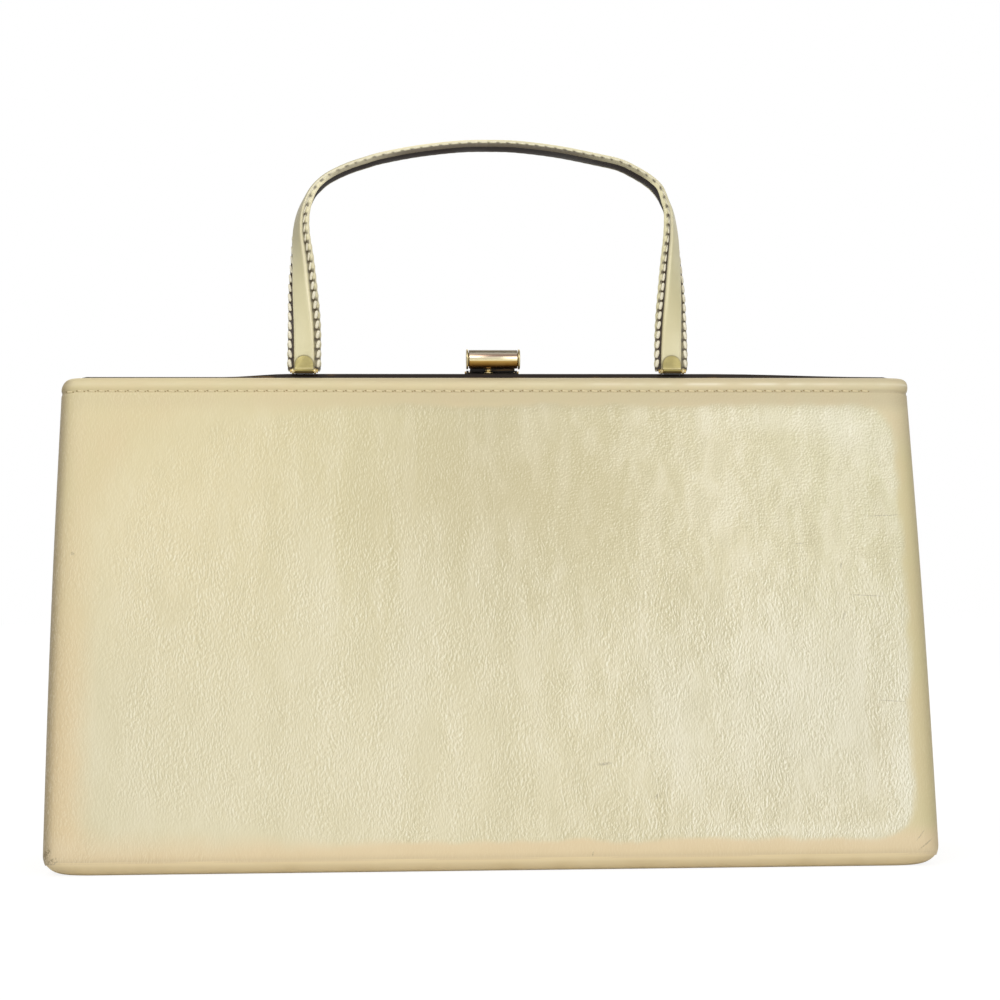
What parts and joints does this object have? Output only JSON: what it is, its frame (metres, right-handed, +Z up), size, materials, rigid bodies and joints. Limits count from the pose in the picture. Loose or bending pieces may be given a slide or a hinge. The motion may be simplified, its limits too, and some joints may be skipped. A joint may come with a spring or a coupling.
{
  "type": "top handle bag",
  "caption": "Framed top handle bag: stiff leather walls on a flat base, hinged frame, lift tube clasp and a twisted strap handle.",
  "frame": {"origin": "centre of the base's underside, on the surface the bag stands on", "axes": "+X to the bag's right seen from the front, the front faces -Y, +Z up"},
  "size_m": [0.3008, 0.076, 0.25],
  "materials": {
    "cream_leather": "grained leather with a pearly sheen",
    "edge_leather": "smooth matt leather",
    "brown_leather": "matt dark brown leather",
    "stiffener_board": "raw board",
    "lining_cloth": "plain woven lining",
    "frame_lacquer": "dark brown lacquer",
    "gilt_brass": "gilt, polished and partly satin"
  },
  "bodies": {
    "base": {"bottom_leather": "edge_leather", "bottom_board": "stiffener_board", "bottom_lining": "lining_cloth"},
    "front_panel": {"front_leather": "cream_leather", "front_board": "stiffener_board", "front_top_binding": "cream_leather", "front_lining": "lining_cloth", "gusset_left_front": "edge_leather", "gusset_right_front": "edge_leather"},
    "rear_panel": {"rear_leather": "cream_leather", "rear_board": "stiffener_board", "rear_top_binding": "cream_leather", "rear_lining": "lining_cloth", "gusset_left_rear": "edge_leather", "gusset_right_rear": "edge_leather", "slip_pocket": "lining_cloth"},
    "front_frame": {"front_frame": "frame_lacquer", "clasp_post": "gilt_brass", "handle_bracket_left": "gilt_brass", "handle_bracket_right": "gilt_brass", "handle_pin_left": "gilt_brass", "handle_pin_right": "gilt_brass"},
    "rear_frame": {"rear_frame": "frame_lacquer", "frame_rivet_left": "gilt_brass", "frame_rivet_right": "gilt_brass", "clasp_bracket": "frame_lacquer", "clasp_hinge_pin": "gilt_brass"},
    "clasp": {"clasp_flap": "frame_lacquer", "clasp_tube": "gilt_brass", "tube_cap_left": "gilt_brass", "tube_cap_right": "gilt_brass"},
    "handle": {"handle_strap": "cream_leather", "handle_core": "stiffener_board", "handle_lining": "brown_leather", "handle_end_left": "gilt_brass", "handle_end_right": "gilt_brass"}
  },
  "joints": [
    {"name": "bag_open", "type": "hinge", "parent": "base", "child": "front_panel", "pos_m": [0, -0.038, 0.0042], "axis": [1, 0, 0], "range_deg": [0, 7.5]},
    {"name": "rear_wall_open", "type": "hinge", "parent": "base", "child": "rear_panel", "pos_m": [0, 0.038, 0.0042], "axis": [-1, 0, 0], "range_deg": [0, 7.5]},
    {"name": "front_frame_open", "type": "hinge", "parent": "front_panel", "child": "front_frame", "pos_m": [0, -0.00335, 0.167], "axis": [1, 0, 0], "range_deg": [0, 23.5]},
    {"name": "rear_frame_open", "type": "hinge", "parent": "rear_panel", "child": "rear_frame", "pos_m": [0, 0.00335, 0.167], "axis": [-1, 0, 0], "range_deg": [0, 23.5]},
    {"name": "handle_fold", "type": "hinge", "parent": "front_frame", "child": "handle", "pos_m": [0, -0.0049, 0.16915], "axis": [1, 0, 0], "range_deg": [0, 115]},
    {"name": "clasp_lift", "type": "hinge", "parent": "rear_frame", "child": "clasp", "pos_m": [0, 0.0049, 0.16915], "axis": [-1, 0, 0], "range_deg": [0, 115]}
  ],
  "couplings": [
    {"joint": "rear_wall_open", "follows": "bag_open", "ratio": 1},
    {"joint": "front_frame_open", "follows": "bag_open", "ratio": 3.13},
    {"joint": "rear_frame_open", "follows": "bag_open", "ratio": 3.13}
  ]
}
